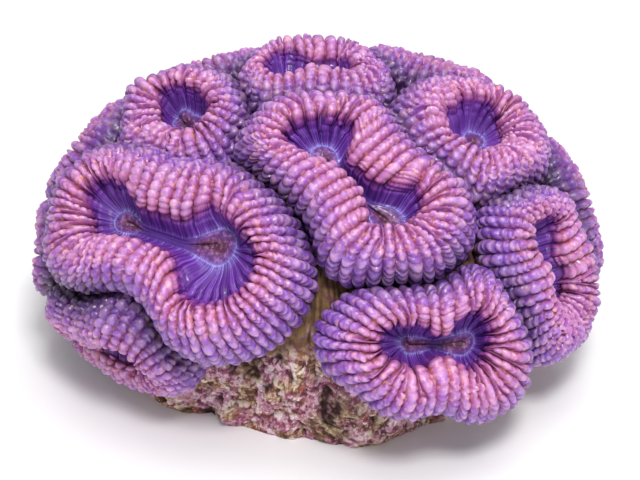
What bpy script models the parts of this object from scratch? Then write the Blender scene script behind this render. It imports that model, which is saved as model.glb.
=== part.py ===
# Lobed brain coral: a dome of fleshy, ribbed lobes, each with its own mouth, standing on a piece of
# reef rock that is cut off flat underneath. Z is up, the cut is at Z = 0, and the side with the
# large two-mouthed lobe faces -Y. Sizes are in millimetres and turned into metres as meshes are made.

import math

import bpy
import numpy as np
from mathutils import Vector
from mathutils.bvhtree import BVHTree

for old in list(bpy.data.objects):
    bpy.data.objects.remove(old, do_unlink=True)

MM = 0.001
CORE_CENTRE = np.array([0.0, 0.0, 48.0])
CORE_ACROSS = 72.0
CORE_DEEP = 57.0
CORE_UP = 36.5
CORE_DOWN = 80.0
LOOP = 20.0
DOMING = 110.0
LOBE_GAP = 1.7
MOUTH_DEPTH = 15.0
RIM_HALF = 9.0
RIM_SHARE = 0.29
MOUTH_FIELD = 11.0
SAG = 0.4
VALLEY_GAP = 4.5
SAMPLES = 72
RIB_OUT = 0.5
RIB_IN = 1.3

# Each lobe: the middle of its rim plane, the compass heading and rise that plane faces (0 is the
# front, 90 the right), the turn of its valley in that plane, the valley's length, its ribs, and how
# far the lobe reaches from the valley at equal steps around it. Some lobes also give the width their
# valley keeps between its mouths (gap) and, for the valley's right-hand and left-hand ends, how open
# the mouth is (mouths) and how much the rim folds over it on the downhill side (fold).
LOBES = {
    "front_left": dict(at=(-58, -52, 86), face=(-32, 47), turn=1, valley=36, gap=5.5, fold=(0.0, 1.0), ribs=28,
                       reach=(36, 35, 34, 27, 28, 34, 37, 37, 27, 22, 34, 37)),
    "centre": dict(at=(12, -41, 102), face=(10, 65), turn=-57, valley=33, gap=2.5, ribs=26,
                   reach=(27, 31, 31, 26, 33, 29, 33, 29, 28, 27, 28, 25)),
    "front_right": dict(at=(42, -80, 55), face=(20, 27), turn=-6, valley=18, gap=3.2, ribs=22,
                        reach=(26, 24, 27, 22, 23, 28, 30, 23, 24, 22, 29, 29)),
    "right": dict(at=(85, -38, 62), face=(60, 24), turn=85, valley=16, ribs=18,
                  reach=(26, 25, 26, 26, 28, 33, 34, 26)),
    "upper_right": dict(at=(60, -2, 98), face=(62, 60), turn=0, valley=7, ribs=18,
                        reach=(28, 33, 33, 31, 28, 33, 31, 32)),
    "upper_left": dict(at=(-52, 5, 101), face=(-45, 60), turn=0, valley=5, ribs=17,
                       reach=(27, 27, 27, 28, 27, 28, 27, 26)),
    "top": dict(at=(-3, 30, 108), face=(180, 85), turn=180, valley=18, gap=3.5, mouths=(0.3, 1.0),
                fold=(0.0, 0.0), ribs=18, reach=(27, 30, 31, 28, 30, 30, 27, 29, 31, 30, 30, 29)),
    "low_left": dict(at=(-79, -45, 25), face=(-44, -30), turn=8, valley=26, ribs=22,
                     reach=(28, 29, 27, 27, 26, 19, 16, 20)),
    "side_left": dict(at=(-103, -6, 47), face=(-88, 4), turn=0, valley=6, ribs=13,
                      reach=(25, 25, 25, 26, 26, 25, 24, 26)),
    "back_left": dict(at=(-91, 28, 70), face=(-110, 33), turn=0, valley=6, ribs=15,
                      reach=(30, 30, 30, 31, 32, 31, 28, 30)),
    "side_right": dict(at=(98, 18, 52), face=(105, 15), turn=0, valley=8, ribs=14,
                       reach=(28, 30, 28, 28, 29, 28, 27, 29)),
    "top_right": dict(at=(38, 46, 98), face=(150, 62), turn=0, valley=8, ribs=12,
                      reach=(29, 30, 28, 29, 30, 29, 28, 29)),
    "top_left": dict(at=(-40, 46, 97), face=(-150, 58), turn=0, valley=6, ribs=12,
                     reach=(28, 27, 29, 28, 28, 29, 27, 28)),
    "back_top": dict(at=(-2, 76, 80), face=(176, 38), turn=8, valley=18, ribs=15,
                     reach=(29, 31, 28, 26, 28, 30, 29, 28, 26, 27, 30, 31)),
    "back_low_left": dict(at=(-60, 70, 56), face=(-142, 20), turn=-20, valley=15, ribs=14,
                          reach=(29, 28, 30, 29, 27, 28, 29, 30)),
    "back_low_right": dict(at=(60, 70, 56), face=(142, 22), turn=25, valley=14, ribs=14,
                           reach=(29, 31, 28, 29, 29, 28, 27, 29)),
    "back_bottom": dict(at=(3, 89, 37), face=(178, 2), turn=-6, valley=14, ribs=13,
                        reach=(27, 28, 27, 27, 26, 26, 27, 26)),
    "under_right": dict(at=(86, 32, 23), face=(112, -10), turn=0, valley=6, ribs=10,
                        reach=(18, 18, 17, 18, 18, 17, 18, 18)),
}

# Radius of the rock's cut face at every 30 degrees from the front, turning towards the right.
FOOTPRINT = (61, 62, 67, 76, 70, 62, 58, 60, 66, 74, 69, 58)
ROCK_AROUND = 36
ROCK_HEIGHTS = (0.0, 4.0, 11.0, 19.0, 28.0, 37.0, 46.0, 55.0, 63.0, 70.0, 76.0, 80.0)
ROCK_CLEAR = 0.7


def lobe_axes(lobe):
    """The rim plane's middle, its two axes and its normal."""
    heading, rise = math.radians(lobe["face"][0]), math.radians(lobe["face"][1])
    normal = np.array([math.sin(heading) * math.cos(rise), -math.cos(heading) * math.cos(rise), math.sin(rise)])
    level = np.array([math.cos(heading), math.sin(heading), 0.0])
    slope = np.cross(normal, level)
    turn = math.radians(lobe["turn"])
    along = math.cos(turn) * level + math.sin(turn) * slope
    across = math.cos(turn) * slope - math.sin(turn) * level
    return np.array(lobe["at"], float), along, across, normal


def around(valley, u):
    """Foot on the valley and way out from it, in the rim plane, for u from 0 to 1 around the lobe."""
    half, quarter = valley / 2, math.pi / 2 * LOOP
    knots = np.cumsum([0.0, quarter, valley, 2 * quarter, valley, quarter])
    walked = (np.asarray(u, float) % 1.0) * knots[-1]
    foot = np.interp(walked, knots, [half, half, -half, -half, half, half])
    angle = np.interp(walked, knots, math.pi * np.array([0, 0.5, 0.5, 1.5, 1.5, 2]))
    return np.stack([foot, 0 * foot], -1), np.stack([np.cos(angle), np.sin(angle)], -1)


def ring_curve(values, u):
    """Smooth closed curve through the values, which stand at equal steps around the lobe."""
    v = np.asarray(values, float)
    x = (np.asarray(u, float) % 1.0) * len(v)
    i = np.floor(x).astype(int)
    f = x - i
    a, b, c, d = (v[(i + k) % len(v)] for k in (-1, 0, 1, 2))
    return 0.5 * (2 * b + (c - a) * f + (2 * a - 5 * b + 4 * c - d) * f**2 + (3 * b - a - 3 * c + d) * f**3)


def rim_half(reach):
    """Half the thickness of the fleshy rim."""
    return np.minimum(RIM_HALF, RIM_SHARE * reach)


def beyond(lobe, points):
    """How far points lie beyond the lobe's free form, negative inside it."""
    at, along, across, normal = lobe_axes(lobe)
    d = points - at
    x, y, h = d @ along, d @ across, d @ normal
    h = h + (x**2 + y**2) / (2 * DOMING)
    half = lobe["valley"] / 2
    foot = np.clip(x, -half, half)
    angle = np.arctan2(y, x - foot) % (2 * math.pi)
    walked = LOOP * angle + np.where(y >= 0, half - foot, 3 * half + foot)
    reach = ring_curve(lobe["reach"], walked / (2 * math.pi * LOOP + 4 * half))
    return np.sqrt((x - foot) ** 2 + y**2 + (h + 1.2 * rim_half(reach)) ** 2) - reach


def mouth_nearness(lobe, foot):
    """1 beside an open mouth, at the ends of the valley, and 0 well away from it."""
    near = np.clip(1 - (lobe["valley"] / 2 - np.abs(foot[:, 0])) / MOUTH_FIELD, 0, 1)
    right, left = lobe.get("mouths", (1.0, 1.0))
    return near**2 * (3 - 2 * near) * np.where(foot[:, 0] > 0, right, left)


def sagging(lobe, foot, way):
    """1 where the way out from the valley leads down the dome and the rim folds over more, down to 0."""
    at, along, across, normal = lobe_axes(lobe)
    drop = -(way[:, 0] * along[2] + way[:, 1] * across[2]) / max(0.35, math.hypot(along[2], across[2]))
    sag = np.clip(0.5 + 0.8 * drop, 0, 1)
    right, left = lobe.get("fold", (1.0, 1.0))
    share = 0.5 + foot[:, 0] / lobe["valley"]
    return sag**2 * (3 - 2 * sag) * (left + (right - left) * share)


def rim_inner(lobe, reach, near, sag):
    """How far the rim folds in over the funnel from its crest; it nearly shuts the valley away from mouths."""
    b = rim_half(reach)
    free = b * (1 + SAG * sag)
    shut = np.maximum(reach - b - lobe.get("gap", VALLEY_GAP), free)
    return np.minimum(free + (shut - free) * (1 - near), reach - b - 2.0)


def profile(lobe, reach, near, sag):
    """Distance from the valley and height over the rim plane, from the mouth out and down the wall."""
    b = rim_half(reach)
    inner = rim_inner(lobe, reach, near, sag)
    edge = reach - b - inner
    floor = MOUTH_DEPTH * np.minimum(1.0, reach / 22)
    lip = np.minimum(4.0, 0.8 * edge)
    slope = np.maximum(edge - lip, 0.3)
    stations = (
        (0.5 * lip, -floor - 1.0),
        (lip, -floor + 0.8),
        (lip + 0.35 * slope, -floor + 1.6),
        (lip + 0.8 * slope, -floor + 5.0),
        (reach - b - 0.96 * inner, -(0.85 + 0.2 * sag) * b),
        (reach - b - 0.7 * inner, -0.38 * b),
        (reach - b - 0.25 * inner, -0.03 * b),
        (reach - 0.75 * b, -0.03 * b),
        (reach - 0.22 * b, -0.45 * b),
        (reach, -1.15 * b),
        (reach - 0.12 * b, -1.9 * b),
        (reach - 0.6 * b, -2.5 * b),
    )
    return np.stack([s for s, h in stations], -1), np.stack([h for s, h in stations], -1)


def in_space(lobe, foot, way, s, h):
    """Points of the lobe from distances and heights in its rim plane, which follows the dome."""
    at, along, across, normal = lobe_axes(lobe)
    flat = foot[:, None, :] + way[:, None, :] * s[:, :, None]
    h = h - (flat**2).sum(-1) / (2 * DOMING)
    return at + flat[..., :1] * along + flat[..., 1:] * across + h[..., None] * normal


def pressed_reach(name):
    """The lobe's reach at equal steps around it, once its neighbours press against it."""
    lobe = LOBES[name]
    u = np.arange(SAMPLES) / SAMPLES
    foot, way = around(lobe["valley"], u)
    free = ring_curve(lobe["reach"], u)
    near_mouth = mouth_nearness(lobe, foot)
    sag = sagging(lobe, foot, way)
    near = [other for key, other in LOBES.items()
            if key != name and math.dist(other["at"], lobe["at"]) < 130]

    def has_room(reach):
        s, h = profile(lobe, reach, near_mouth, sag)
        points = in_space(lobe, foot, way, s[:, 7:12], h[:, 7:12]).reshape(-1, 3)
        others = np.min([beyond(other, points) for other in near], axis=0)
        return (beyond(lobe, points) + LOBE_GAP <= others).reshape(len(u), -1).all(1)

    roomy = has_room(free)
    low, high = np.full_like(free, 8.0), free.copy()
    for _ in range(12):
        middle = (low + high) / 2
        good = has_room(middle)
        low = np.where(good, middle, low)
        high = np.where(good, high, middle)
    reach = np.where(roomy, free, low)
    for _ in range(2):
        smooth = sum(w * np.roll(reach, k) for k, w in ((-2, 1 / 9), (-1, 2 / 9), (0, 3 / 9), (1, 2 / 9), (2, 1 / 9)))
        reach = np.minimum(reach, smooth + 0.15)
    return reach


def onto_core(points, grow):
    """Points moved towards or from the core's centre until they lie on the core, grown a little."""
    d = points - CORE_CENTRE
    up = np.where(d[..., 2:] >= 0, CORE_UP, CORE_DOWN) + grow
    span = (d[..., :1] / (CORE_ACROSS + grow)) ** 2 + (d[..., 1:2] / (CORE_DEEP + grow)) ** 2 + (d[..., 2:] / up) ** 2
    return CORE_CENTRE + d / np.sqrt(span)


def paint(name, colour, roughness):
    material = bpy.data.materials.new(name)
    material.use_nodes = True
    shader = material.node_tree.nodes["Principled BSDF"]
    shader.inputs["Base Color"].default_value = (*colour, 1.0)
    shader.inputs["Roughness"].default_value = roughness
    return material


def add_solid(name, points, faces, material):
    """One closed object from points in millimetres."""
    mesh = bpy.data.meshes.new(name)
    mesh.from_pydata((np.asarray(points) * MM).tolist(), [], faces)
    mesh.validate()
    mesh.materials.append(material)
    solid = bpy.data.objects.new(name, mesh)
    bpy.context.scene.collection.objects.link(solid)
    return solid


def stitch(lower, upper):
    """Triangles between two rings, where one may have twice the columns of the other."""
    faces = []
    if len(lower) == len(upper):
        n = len(lower)
        for i in range(n):
            j = (i + 1) % n
            faces += [(lower[i], upper[i], upper[j]), (lower[i], upper[j], lower[j])]
    elif len(upper) == 2 * len(lower):
        n = len(lower)
        for i in range(n):
            j = (i + 1) % n
            a, b, c = upper[2 * i], upper[2 * i + 1], upper[(2 * i + 2) % len(upper)]
            faces += [(lower[i], a, b), (lower[i], b, lower[j]), (lower[j], b, c)]
    else:
        faces = [(f[0], f[2], f[1]) for f in stitch(upper, lower)]
    return faces


def make_lobe(name, material):
    """One lobe: mouth floor, funnel, ribbed rim, outer wall and neck, closed at its foot on the rock."""
    lobe = LOBES[name]
    columns = 2 * lobe["ribs"]
    u = np.arange(columns) / columns
    foot, way = around(lobe["valley"], u)
    reach = ring_curve(pressed_reach(name), u)
    s, h = profile(lobe, reach, mouth_nearness(lobe, foot), sagging(lobe, foot, way))
    # Even columns run along a rib and odd ones along a groove.
    relief = np.where(np.arange(columns) % 2 == 0, RIB_OUT, -RIB_IN)
    for station, out, up in ((4, -0.9, 0.3), (5, -0.7, 0.7), (6, -0.1, 1.0), (7, 0.2, 1.0), (8, 0.8, 0.6), (9, 1.0, 0.0)):
        s[:, station] += out * relief
        h[:, station] += up * relief
    grid = in_space(lobe, foot, way, s, h)
    crest = (grid[:, 6:7] + grid[:, 7:8]) / 2
    grid = np.concatenate([grid[:, :6], crest, grid[:, 8:]], axis=1)
    heart = in_space(lobe, foot, way, np.zeros((columns, 1)), np.full((columns, 1), -20.0))[:, 0]
    sole = onto_core(heart + 0.55 * (grid[:, 10] - heart), 0.5)
    rings = [grid[::2, 1], grid[::2, 3], grid[:, 4], grid[:, 5], grid[:, 6], grid[:, 7], grid[:, 8], grid[::2, 10], sole[::2]]
    points = [r for ring in rings for r in ring]
    index, start = [], 0
    for ring in rings:
        index.append(list(range(start, start + len(ring))))
        start += len(ring)
    middle = in_space(lobe, np.zeros((1, 2)), np.zeros((1, 2)), np.zeros((1, 1)), np.full((1, 1), -MOUTH_DEPTH - 0.5))[0, 0]
    base = onto_core(sole.mean(0), 0.5)
    points += [middle, base]
    faces = []
    for lower, upper in zip(index, index[1:]):
        faces += stitch(lower, upper)
    n = len(index[0])
    faces += [(start, index[0][i], index[0][(i + 1) % n]) for i in range(n)]
    n = len(index[-1])
    faces += [(start + 1, index[-1][(i + 1) % n], index[-1][i]) for i in range(n)]
    return add_solid("lobe_" + name, points, faces, material), np.array(points), faces


def rough(points, size, seed):
    """Smooth lumps between -1 and 1, about the given size in millimetres."""
    p = points / size + seed * 7.31
    cell = np.floor(p)
    f = p - cell
    f = f * f * (3 - 2 * f)
    total = 0.0
    for dx in (0, 1):
        for dy in (0, 1):
            for dz in (0, 1):
                corner = cell + (dx, dy, dz)
                value = np.sin(corner @ np.array([127.1, 311.7, 74.7])) * 43758.5453
                weight = abs(1 - dx - f[..., 0]) * abs(1 - dy - f[..., 1]) * abs(1 - dz - f[..., 2])
                total = total + weight * (2 * (value - np.floor(value)) - 1)
    return total


def rock_form(turns, heights):
    """Points of the rock's free form at the given turns (0 to 1 from the front) and heights."""
    angle = 2 * math.pi * turns
    side = np.stack([np.sin(angle), -np.cos(angle)], -1)
    foot = ring_curve(FOOTPRINT, turns)
    core = 1 / np.sqrt((side[..., 0] / (CORE_ACROSS + 5)) ** 2 + (side[..., 1] / (CORE_DEEP + 5)) ** 2)
    low = np.clip(heights / 46.0, 0, 1)
    wall = foot + (core - foot) * low**1.5 + 4.0 * np.sin(math.pi * np.clip(heights / 30.0, 0, 1))
    high = np.clip((heights - 46.0) / 38.5, 0, 1)
    radius = np.where(heights > 46.0, core * np.sqrt(1 - high**2), wall)
    points = np.concatenate([side * radius[..., None], heights[..., None]], -1)
    lumps = 3.8 * rough(points, 19.0, 1) + 2.6 * rough(points, 9.0, 2)
    fade = np.clip(heights / 4.0, 0.6, 1) * np.where(heights > 70.0, 0.3, 1.0)
    points[..., :2] += side * (lumps * fade)[..., None]
    return points


def make_rock(lobes, material):
    """The reef rock: a rough drum under the lobes, flat below, and kept clear of every lobe's flesh."""
    verts, tris, start = [], [], 0
    for points, faces in lobes:
        verts += [Vector(p) for p in points]
        tris += [tuple(i + start for i in f) for f in faces]
        start += len(points)
    tree = BVHTree.FromPolygons(verts, tris)
    centre = Vector(CORE_CENTRE)
    fine = 3
    rows = np.interp(np.arange((len(ROCK_HEIGHTS) - 1) * fine + 1) / fine, np.arange(len(ROCK_HEIGHTS)), ROCK_HEIGHTS)
    turns = np.arange(ROCK_AROUND * fine) / (ROCK_AROUND * fine)
    grid = rock_form(np.broadcast_to(turns, (len(rows), len(turns))), np.broadcast_to(rows[:, None], (len(rows), len(turns))))
    share = np.ones(grid.shape[:2])
    for i in range(grid.shape[0]):
        for j in range(grid.shape[1]):
            ray = Vector(grid[i, j]) - centre
            hit = tree.ray_cast(centre, ray.normalized(), ray.length + 15.0)
            if hit[0] is not None:
                share[i, j] = min(1.0, (hit[3] - ROCK_CLEAR) / ray.length)
    held = np.ones((len(ROCK_HEIGHTS), ROCK_AROUND))
    for i in range(len(ROCK_HEIGHTS)):
        for j in range(ROCK_AROUND):
            up = range(max(0, i * fine - fine), min(len(rows), i * fine + fine + 1))
            out = [(j * fine + k) % len(turns) for k in range(-fine, fine + 1)]
            held[i, j] = share[np.ix_(list(up), out)].min()
    coarse = grid[::fine, ::fine]
    points = CORE_CENTRE + (coarse - CORE_CENTRE) * held[..., None]
    # The cut face stays flat: its edge is only drawn in, never lifted.
    points[0, :, :2] = coarse[0, :, :2] * held[0, :, None]
    points[0, :, 2] = 0.0
    points[1, :, 2] = np.maximum(points[1, :, 2], 2.5)
    top = np.array([[0.0, 0.0, points[-1, :, 2].mean() + 1.0]])
    flat = list(points.reshape(-1, 3)) + [top[0], np.array([0.0, 0.0, 0.0])]
    faces = []
    n = ROCK_AROUND
    for i in range(len(ROCK_HEIGHTS) - 1):
        faces += stitch([i * n + j for j in range(n)], [(i + 1) * n + j for j in range(n)])
    last = (len(ROCK_HEIGHTS) - 1) * n
    faces += [(last + j, last + n, last + (j + 1) % n) for j in range(n)]
    faces += [(j, (j + 1) % n, last + n + 1) for j in range(n)]
    faces = [(f[0], f[2], f[1]) for f in faces]
    return add_solid("reef_rock", flat, faces, material)


flesh = paint("violet coral flesh", (0.42, 0.16, 0.55), 0.4)
stone = paint("encrusted reef rock", (0.35, 0.24, 0.2), 0.9)
made = []
for lobe_name in LOBES:
    solid, lobe_points, lobe_faces = make_lobe(lobe_name, flesh)
    made.append((lobe_points, lobe_faces))
make_rock(made, stone)
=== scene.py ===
import math

import bpy
import numpy as np
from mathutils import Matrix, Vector
from mathutils.bvhtree import BVHTree


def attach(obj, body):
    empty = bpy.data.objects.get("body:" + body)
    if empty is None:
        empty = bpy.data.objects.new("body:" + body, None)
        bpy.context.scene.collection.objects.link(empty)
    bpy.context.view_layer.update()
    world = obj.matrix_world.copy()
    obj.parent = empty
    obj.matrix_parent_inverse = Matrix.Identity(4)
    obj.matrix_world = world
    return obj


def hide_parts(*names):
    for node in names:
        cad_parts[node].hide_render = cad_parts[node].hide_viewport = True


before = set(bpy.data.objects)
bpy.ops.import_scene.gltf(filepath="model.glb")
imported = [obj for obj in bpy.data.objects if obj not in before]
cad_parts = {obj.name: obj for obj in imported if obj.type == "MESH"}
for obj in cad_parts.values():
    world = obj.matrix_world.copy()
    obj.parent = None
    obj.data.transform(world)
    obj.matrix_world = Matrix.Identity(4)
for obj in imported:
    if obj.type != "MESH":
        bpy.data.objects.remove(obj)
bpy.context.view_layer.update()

# Sizes are in millimetres in the formulas, and meshes are made in metres.
MM = 0.001
CORE_CENTRE = np.array([0.0, 0.0, 48.0])
CORE_ACROSS = 72.0
CORE_DEEP = 57.0
CORE_UP = 36.5
CORE_DOWN = 80.0
LOOP = 20.0
DOMING = 110.0
LOBE_GAP = 1.7
MOUTH_DEPTH = 15.0
RIM_HALF = 9.0
RIM_SHARE = 0.29
MOUTH_FIELD = 11.0
SAG = 0.4
VALLEY_GAP = 4.5
SAMPLES = 72

# Each lobe: the middle of its rim plane, the compass heading and rise that plane faces (0 is the
# front, 90 the right), the turn of its valley in that plane, the valley's length, and how far the
# lobe reaches from the valley at equal steps around it. Some lobes also give the width their valley
# keeps between its mouths (gap) and, for the valley's right-hand and left-hand ends, how open the
# mouth is (mouths) and how much the rim folds over it on the downhill side (fold).
LOBES = {
    "front_left": dict(at=(-58, -52, 86), face=(-32, 47), turn=1, valley=36, gap=5.5, fold=(0.0, 1.0),
                       reach=(36, 35, 34, 27, 28, 34, 37, 37, 27, 22, 34, 37)),
    "centre": dict(at=(12, -41, 102), face=(10, 65), turn=-57, valley=33, gap=2.5,
                   reach=(27, 31, 31, 26, 33, 29, 33, 29, 28, 27, 28, 25)),
    "front_right": dict(at=(42, -80, 55), face=(20, 27), turn=-6, valley=18, gap=3.2,
                        reach=(26, 24, 27, 22, 23, 28, 30, 23, 24, 22, 29, 29)),
    "right": dict(at=(85, -38, 62), face=(60, 24), turn=85, valley=16,
                  reach=(26, 25, 26, 26, 28, 33, 34, 26)),
    "upper_right": dict(at=(60, -2, 98), face=(62, 60), turn=0, valley=7,
                        reach=(28, 33, 33, 31, 28, 33, 31, 32)),
    "upper_left": dict(at=(-52, 5, 101), face=(-45, 60), turn=0, valley=5,
                       reach=(27, 27, 27, 28, 27, 28, 27, 26)),
    "top": dict(at=(-3, 30, 108), face=(180, 85), turn=180, valley=18, gap=3.5, mouths=(0.3, 1.0),
                fold=(0.0, 0.0), reach=(27, 30, 31, 28, 30, 30, 27, 29, 31, 30, 30, 29)),
    "low_left": dict(at=(-79, -45, 25), face=(-44, -30), turn=8, valley=26,
                     reach=(28, 29, 27, 27, 26, 19, 16, 20)),
    "side_left": dict(at=(-103, -6, 47), face=(-88, 4), turn=0, valley=6,
                      reach=(25, 25, 25, 26, 26, 25, 24, 26)),
    "back_left": dict(at=(-91, 28, 70), face=(-110, 33), turn=0, valley=6,
                      reach=(30, 30, 30, 31, 32, 31, 28, 30)),
    "side_right": dict(at=(98, 18, 52), face=(105, 15), turn=0, valley=8,
                       reach=(28, 30, 28, 28, 29, 28, 27, 29)),
    "top_right": dict(at=(38, 46, 98), face=(150, 62), turn=0, valley=8,
                      reach=(29, 30, 28, 29, 30, 29, 28, 29)),
    "top_left": dict(at=(-40, 46, 97), face=(-150, 58), turn=0, valley=6,
                     reach=(28, 27, 29, 28, 28, 29, 27, 28)),
    "back_top": dict(at=(-2, 76, 80), face=(176, 38), turn=8, valley=18,
                     reach=(29, 31, 28, 26, 28, 30, 29, 28, 26, 27, 30, 31)),
    "back_low_left": dict(at=(-60, 70, 56), face=(-142, 20), turn=-20, valley=15,
                          reach=(29, 28, 30, 29, 27, 28, 29, 30)),
    "back_low_right": dict(at=(60, 70, 56), face=(142, 22), turn=25, valley=14,
                           reach=(29, 31, 28, 29, 29, 28, 27, 29)),
    "back_bottom": dict(at=(3, 89, 37), face=(178, 2), turn=-6, valley=14,
                        reach=(27, 28, 27, 27, 26, 26, 27, 26)),
    "under_right": dict(at=(86, 32, 23), face=(112, -10), turn=0, valley=6,
                        reach=(18, 18, 17, 18, 18, 17, 18, 18)),
}

# Radius of the rock's cut face at every 30 degrees from the front, turning towards the right.
FOOTPRINT = (61, 62, 67, 76, 70, 62, 58, 60, 66, 74, 69, 58)

# Height of the rock's shoulder, where its rounded crown begins, and of the crown above it.
ROCK_SHOULDER = 46.0
ROCK_CROWN = 38.5


def lobe_axes(lobe):
    """The rim plane's middle, its two axes and its normal."""
    heading, rise = math.radians(lobe["face"][0]), math.radians(lobe["face"][1])
    tilt = math.cos(rise)
    normal = np.array([math.sin(heading) * tilt, -math.cos(heading) * tilt, math.sin(rise)])
    level = np.array([math.cos(heading), math.sin(heading), 0.0])
    slope = np.cross(normal, level)
    turn = math.radians(lobe["turn"])
    along = math.cos(turn) * level + math.sin(turn) * slope
    across = math.cos(turn) * slope - math.sin(turn) * level
    return np.array(lobe["at"], float), along, across, normal


def around(valley, u):
    """Foot on the valley and way out from it, in the rim plane, for u from 0 to 1 around the lobe."""
    half, quarter = valley / 2, math.pi / 2 * LOOP
    knots = np.cumsum([0.0, quarter, valley, 2 * quarter, valley, quarter])
    walked = (np.asarray(u, float) % 1.0) * knots[-1]
    foot = np.interp(walked, knots, [half, half, -half, -half, half, half])
    angle = np.interp(walked, knots, math.pi * np.array([0, 0.5, 0.5, 1.5, 1.5, 2]))
    return np.stack([foot, 0 * foot], -1), np.stack([np.cos(angle), np.sin(angle)], -1)


def smooth_between(a, b, c, d, f):
    """Curve from b to c at the share f of the way, bent by the neighbours a and d."""
    squared = (2 * a - 5 * b + 4 * c - d) * f**2
    cubed = (3 * b - a - 3 * c + d) * f**3
    return 0.5 * (2 * b + (c - a) * f + squared + cubed)


def ring_curve(values, u):
    """Smooth closed curve through the values, which stand at equal steps around the lobe."""
    v = np.asarray(values, float)
    x = (np.asarray(u, float) % 1.0) * len(v)
    i = np.floor(x).astype(int)
    f = x - i
    a, b, c, d = (v[(i + k) % len(v)] for k in (-1, 0, 1, 2))
    return smooth_between(a, b, c, d, f)


def rim_half(reach):
    """Half the thickness of the fleshy rim."""
    return np.minimum(RIM_HALF, RIM_SHARE * reach)


def beyond(lobe, points):
    """How far points lie beyond the lobe's free form, negative inside it."""
    at, along, across, normal = lobe_axes(lobe)
    d = points - at
    x, y, h = d @ along, d @ across, d @ normal
    h = h + (x**2 + y**2) / (2 * DOMING)
    half = lobe["valley"] / 2
    foot = np.clip(x, -half, half)
    angle = np.arctan2(y, x - foot) % (2 * math.pi)
    walked = LOOP * angle + np.where(y >= 0, half - foot, 3 * half + foot)
    reach = ring_curve(lobe["reach"], walked / (2 * math.pi * LOOP + 4 * half))
    return np.sqrt((x - foot) ** 2 + y**2 + (h + 1.2 * rim_half(reach)) ** 2) - reach


def mouth_nearness(lobe, foot):
    """1 beside an open mouth, at the ends of the valley, and 0 well away from it."""
    near = np.clip(1 - (lobe["valley"] / 2 - np.abs(foot[:, 0])) / MOUTH_FIELD, 0, 1)
    right, left = lobe.get("mouths", (1.0, 1.0))
    return near**2 * (3 - 2 * near) * np.where(foot[:, 0] > 0, right, left)


def sagging(lobe, foot, way):
    """1 where the way out from the valley leads down the dome and the rim folds over more, down to 0."""
    _, along, across, _ = lobe_axes(lobe)
    drop = -(way[:, 0] * along[2] + way[:, 1] * across[2]) / max(0.35, math.hypot(along[2], across[2]))
    sag = np.clip(0.5 + 0.8 * drop, 0, 1)
    right, left = lobe.get("fold", (1.0, 1.0))
    share = 0.5 + foot[:, 0] / lobe["valley"]
    return sag**2 * (3 - 2 * sag) * (left + (right - left) * share)


def rim_inner(lobe, reach, near, sag):
    """How far the rim folds in over the funnel; away from the mouths it nearly shuts the valley."""
    b = rim_half(reach)
    free = b * (1 + SAG * sag)
    shut = np.maximum(reach - b - lobe.get("gap", VALLEY_GAP), free)
    return np.minimum(free + (shut - free) * (1 - near), reach - b - 2.0)


def profile(lobe, reach, near, sag):
    """Distance from the valley and height over the rim plane, from the mouth out and down the wall."""
    b = rim_half(reach)
    inner = rim_inner(lobe, reach, near, sag)
    edge = reach - b - inner
    floor = MOUTH_DEPTH * np.minimum(1.0, reach / 22)
    lip = np.minimum(4.0, 0.8 * edge)
    slope = np.maximum(edge - lip, 0.3)
    stations = (
        (0.5 * lip, -floor - 1.0),
        (lip, -floor + 0.8),
        (lip + 0.35 * slope, -floor + 1.6),
        (lip + 0.8 * slope, -floor + 5.0),
        (reach - b - 0.96 * inner, -(0.85 + 0.2 * sag) * b),
        (reach - b - 0.7 * inner, -0.38 * b),
        (reach - b - 0.25 * inner, -0.03 * b),
        (reach - 0.75 * b, -0.03 * b),
        (reach - 0.22 * b, -0.45 * b),
        (reach, -1.15 * b),
        (reach - 0.12 * b, -1.9 * b),
        (reach - 0.6 * b, -2.5 * b),
    )
    return np.stack([s for s, h in stations], -1), np.stack([h for s, h in stations], -1)


def in_space(lobe, foot, way, s, h):
    """Points of the lobe from distances and heights in its rim plane, which follows the dome."""
    at, along, across, normal = lobe_axes(lobe)
    flat = foot[:, None, :] + way[:, None, :] * s[:, :, None]
    h = h - (flat**2).sum(-1) / (2 * DOMING)
    return at + flat[..., :1] * along + flat[..., 1:] * across + h[..., None] * normal


def pressed_reach(name):
    """The lobe's reach at equal steps around it, once its neighbours press against it."""
    lobe = LOBES[name]
    u = np.arange(SAMPLES) / SAMPLES
    foot, way = around(lobe["valley"], u)
    free = ring_curve(lobe["reach"], u)
    near_mouth = mouth_nearness(lobe, foot)
    sag = sagging(lobe, foot, way)
    near = [other for key, other in LOBES.items()
            if key != name and math.dist(other["at"], lobe["at"]) < 130]

    def has_room(reach):
        s, h = profile(lobe, reach, near_mouth, sag)
        points = in_space(lobe, foot, way, s[:, 7:12], h[:, 7:12]).reshape(-1, 3)
        others = np.min([beyond(other, points) for other in near], axis=0)
        return (beyond(lobe, points) + LOBE_GAP <= others).reshape(len(u), -1).all(1)

    roomy = has_room(free)
    low, high = np.full_like(free, 8.0), free.copy()
    for _ in range(12):
        middle = (low + high) / 2
        good = has_room(middle)
        low = np.where(good, middle, low)
        high = np.where(good, high, middle)
    reach = np.where(roomy, free, low)
    blur = ((-2, 1 / 9), (-1, 2 / 9), (0, 3 / 9), (1, 2 / 9), (2, 1 / 9))
    for _ in range(2):
        smooth = sum(w * np.roll(reach, k) for k, w in blur)
        reach = np.minimum(reach, smooth + 0.15)
    return reach


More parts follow.
